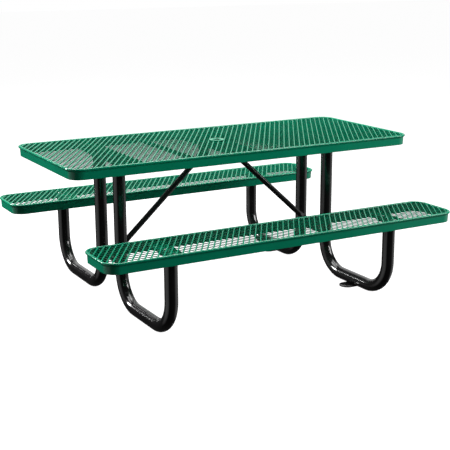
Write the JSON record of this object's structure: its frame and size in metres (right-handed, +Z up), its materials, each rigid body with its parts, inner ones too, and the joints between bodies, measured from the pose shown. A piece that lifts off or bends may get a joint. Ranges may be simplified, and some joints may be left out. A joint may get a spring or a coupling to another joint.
{
  "type": "picnic table",
  "caption": "Rectangular picnic table with two attached benches: coated expanded-metal top and seats in skirted rims on U-bent tube legs, with an umbrella hole.",
  "frame": {"origin": "on the ground, under the middle of the tabletop", "axes": "+X along the table's length, +Y across it towards the back bench, +Z up"},
  "size_m": [1.83, 1.484, 0.742],
  "materials": {
    "green_coating": "thick glossy green thermoplastic coating over steel",
    "black_coating": "glossy black coating over steel",
    "zinc_plate": "zinc-plated steel"
  },
  "bodies": {
    "root": {"tabletop_rim": "green_coating", "tabletop_mesh": "green_coating", "umbrella_ring": "green_coating", "left_top_channel": "green_coating", "right_top_channel": "green_coating", "left_top_rib": "green_coating", "right_top_rib": "green_coating", "left_centre_bar": "green_coating", "right_centre_bar": "green_coating", "front_bench_rim": "green_coating", "front_bench_mesh": "green_coating", "back_bench_rim": "green_coating", "back_bench_mesh": "green_coating", "front_left_seat_channel": "green_coating", "front_right_seat_channel": "green_coating", "back_left_seat_channel": "green_coating", "back_right_seat_channel": "green_coating", "front_left_leg": "black_coating", "front_right_leg": "black_coating", "back_left_leg": "black_coating", "back_right_leg": "black_coating", "front_left_top_plate": "black_coating", "front_right_top_plate": "black_coating", "back_left_top_plate": "black_coating", "back_right_top_plate": "black_coating", "front_left_seat_plate": "black_coating", "front_right_seat_plate": "black_coating", "back_left_seat_plate": "black_coating", "back_right_seat_plate": "black_coating", "left_crossbar": "black_coating", "right_crossbar": "black_coating", "left_lower_lug": "black_coating", "right_lower_lug": "black_coating", "left_upper_lug": "black_coating", "right_upper_lug": "black_coating", "left_brace": "black_coating", "right_brace": "black_coating", "front_left_anchor_tab": "black_coating", "front_right_anchor_tab": "black_coating", "back_left_anchor_tab": "black_coating", "back_right_anchor_tab": "black_coating", "top_plate_bolts": "zinc_plate", "top_plate_nuts": "zinc_plate", "seat_plate_bolts": "zinc_plate", "seat_plate_nuts": "zinc_plate", "brace_bolts": "zinc_plate", "brace_nuts": "zinc_plate"}
  },
  "joints": []
}
